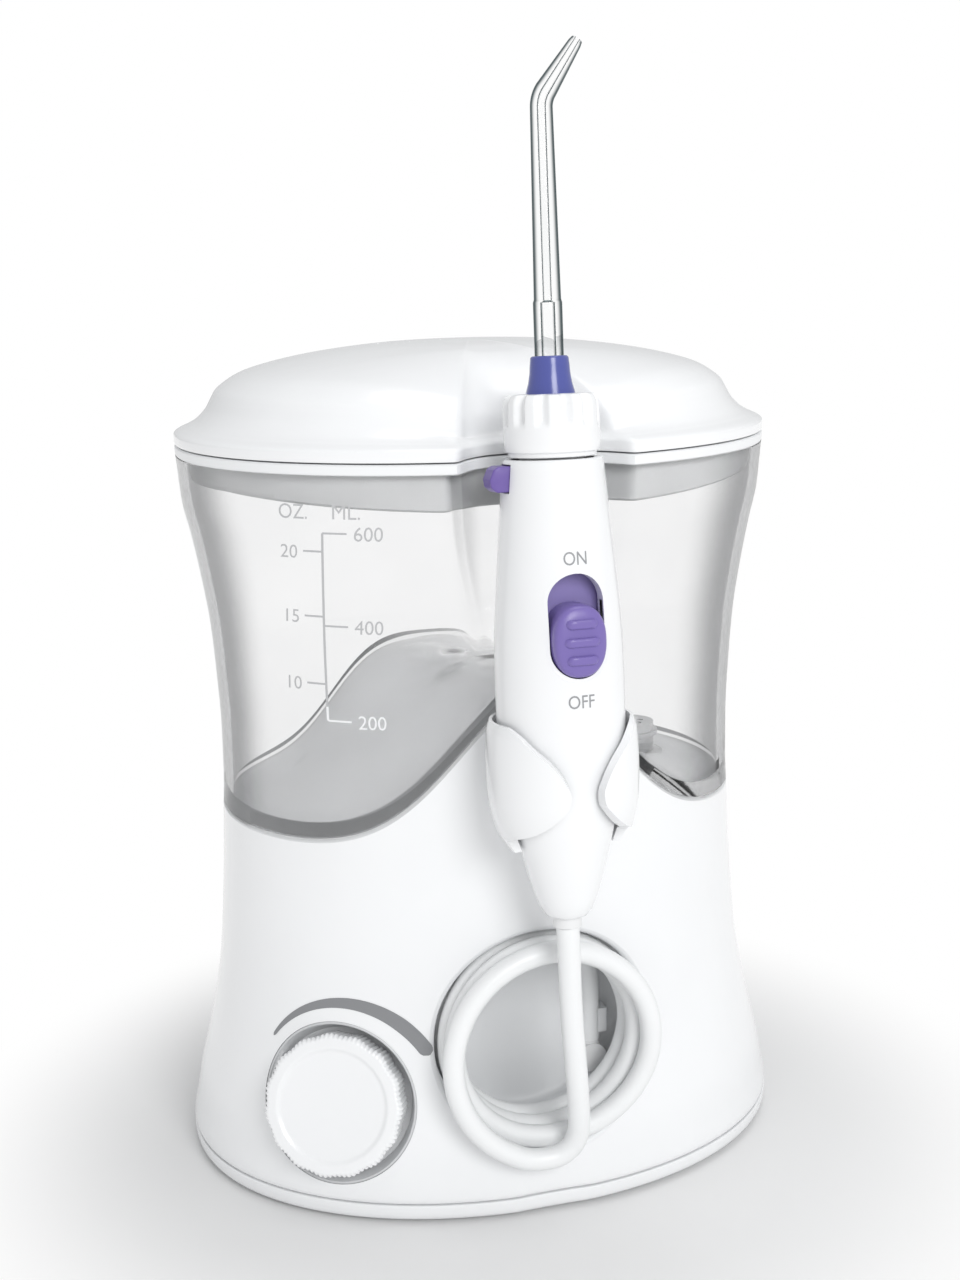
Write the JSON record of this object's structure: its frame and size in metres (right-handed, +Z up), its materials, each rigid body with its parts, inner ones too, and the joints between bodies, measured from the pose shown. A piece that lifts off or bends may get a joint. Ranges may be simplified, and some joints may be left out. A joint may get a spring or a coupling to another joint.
{
  "type": "water flosser",
  "caption": "Countertop water flosser: white hourglass base with pump and pressure dial, smoky water tank with tray and lid, corded hand piece with jet tip in a cradle, coiled hose in a pocket.",
  "frame": {"origin": "on the floor under the middle of the overall box, hose left out", "axes": "+Z up, front of the flosser faces -Y, +X to the right of someone facing the front"},
  "size_m": [0.1488, 0.1445, 0.2574],
  "materials": {
    "white_gloss": "glossy",
    "white_satin": "satin",
    "smoke_clear": "clear smoky plastic",
    "clear": "clear",
    "purple": "satin",
    "blue_purple": "glossy",
    "grey": "satin",
    "dark_plastic": "matte",
    "nylon": "matte",
    "rubber": "matte",
    "steel": "brushed",
    "brass": "machined",
    "board_green": "solder mask",
    "hose_white": "soft satin"
  },
  "bodies": {
    "base": {"main_housing": "white_gloss", "bottom_plate": "white_gloss", "rubber_feet": "rubber", "housing_screws": "steel", "power_inlet": "dark_plastic", "dial_bezel": "grey", "regulator_body": "dark_plastic", "hose_nipple": "nylon", "hose_clip": "nylon", "handle_holder": "white_gloss", "motor_can": "steel", "pump_frame": "dark_plastic", "gear_axle": "steel", "pump_cylinder": "nylon", "valve_head": "dark_plastic", "check_valves": "steel", "pump_screws": "steel", "rubber_mounts": "rubber", "control_board": "board_green", "inlet_tube": "nylon", "outlet_tube": "nylon", "supply_tube": "nylon", "tank_port": "nylon", "tank_port_seal": "rubber", "hose_drop": "hose_white", "hose_loop": "hose_white", "hose_coil": "hose_white", "hose_tail": "hose_white"},
    "dial": {"dial_knob": "white_satin", "regulator_spindle": "nylon"},
    "rotor": {"motor_rotor": "steel", "motor_pinion": "brass"},
    "gear": {"drive_gear": "nylon"},
    "piston": {"piston_rod": "nylon", "piston_seal": "rubber"},
    "tank": {"water_tank": "smoke_clear", "tank_valve_body": "nylon", "tank_valve_spring": "steel"},
    "plunger": {"tank_valve_plunger": "nylon"},
    "tray": {"tip_tray": "white_satin", "lid_hinge_pin": "steel"},
    "lid": {"lid_cover": "white_gloss"},
    "hand_piece": {"handle_front": "white_gloss", "handle_rear": "white_gloss", "shutoff_body": "nylon", "handle_tube": "nylon", "hose_barb": "nylon", "eject_spring": "steel"},
    "nozzle": {"nozzle_collar": "white_gloss", "tip_socket": "nylon", "socket_o_ring": "rubber"},
    "tip": {"jet_tip": "clear", "tip_ring": "blue_purple"},
    "eject": {"eject_button": "purple"},
    "switch": {"slide_button": "purple", "shutoff_spool": "steel"}
  },
  "joints": [
    {"name": "dial_turn", "type": "hinge", "parent": "base", "child": "dial", "pos_m": [-0.0465, -0.0323, 0.0275], "axis": [-0.4513, -0.8487, 0.2756], "range_deg": [-240, 0]},
    {"name": "gear_spin", "type": "hinge", "parent": "base", "child": "gear", "pos_m": [0, 0.0223, 0.048], "axis": [1, 0, 0], "continuous": true},
    {"name": "rotor_spin", "type": "hinge", "parent": "base", "child": "rotor", "pos_m": [0, 0.0223, 0.024], "axis": [1, 0, 0], "continuous": true},
    {"name": "piston_stroke", "type": "slide", "parent": "base", "child": "piston", "axis": [0, 0, 1], "range_m": [-0.0025, 0.0025]},
    {"name": "tank_lift", "type": "slide", "parent": "base", "child": "tank", "axis": [0, 0, 1], "range_m": [0, 0.06]},
    {"name": "valve_lift", "type": "slide", "parent": "tank", "child": "plunger", "axis": [0, 0, 1], "range_m": [0, 0.001], "stiffness_N_per_m": 60, "springref_m": -0.002, "deforming": ["tank_valve_spring"]},
    {"name": "tray_lift", "type": "slide", "parent": "tank", "child": "tray", "axis": [0, 0, 1], "range_m": [0, 0.04]},
    {"name": "lid_hinge", "type": "hinge", "parent": "tray", "child": "lid", "pos_m": [0, 0.0699, 0.1743], "axis": [-1, 0, 0], "range_deg": [0, 95]},
    {"name": "hand_piece_lift", "type": "slide", "parent": "base", "child": "hand_piece", "axis": [0, -0.0698, -0.9976], "range_m": [-0.03, 0]},
    {"name": "nozzle_turn", "type": "hinge", "parent": "hand_piece", "child": "nozzle", "pos_m": [0, -0.0587, 0.077], "axis": [0, 0.0698, 0.9976], "continuous": true},
    {"name": "tip_pull", "type": "slide", "parent": "nozzle", "child": "tip", "axis": [0, 0.0698, 0.9976], "range_m": [0, 0.025]},
    {"name": "eject_push", "type": "slide", "parent": "hand_piece", "child": "eject", "axis": [1, 0, 0], "range_m": [0, 0.0012], "stiffness_N_per_m": 150, "deforming": ["eject_spring"]},
    {"name": "switch_slide", "type": "slide", "parent": "hand_piece", "child": "switch", "axis": [0, 0.0698, 0.9976], "range_m": [0, 0.006]}
  ],
  "couplings": [
    {"joint": "rotor_spin", "follows": "gear_spin", "ratio": -3}
  ]
}
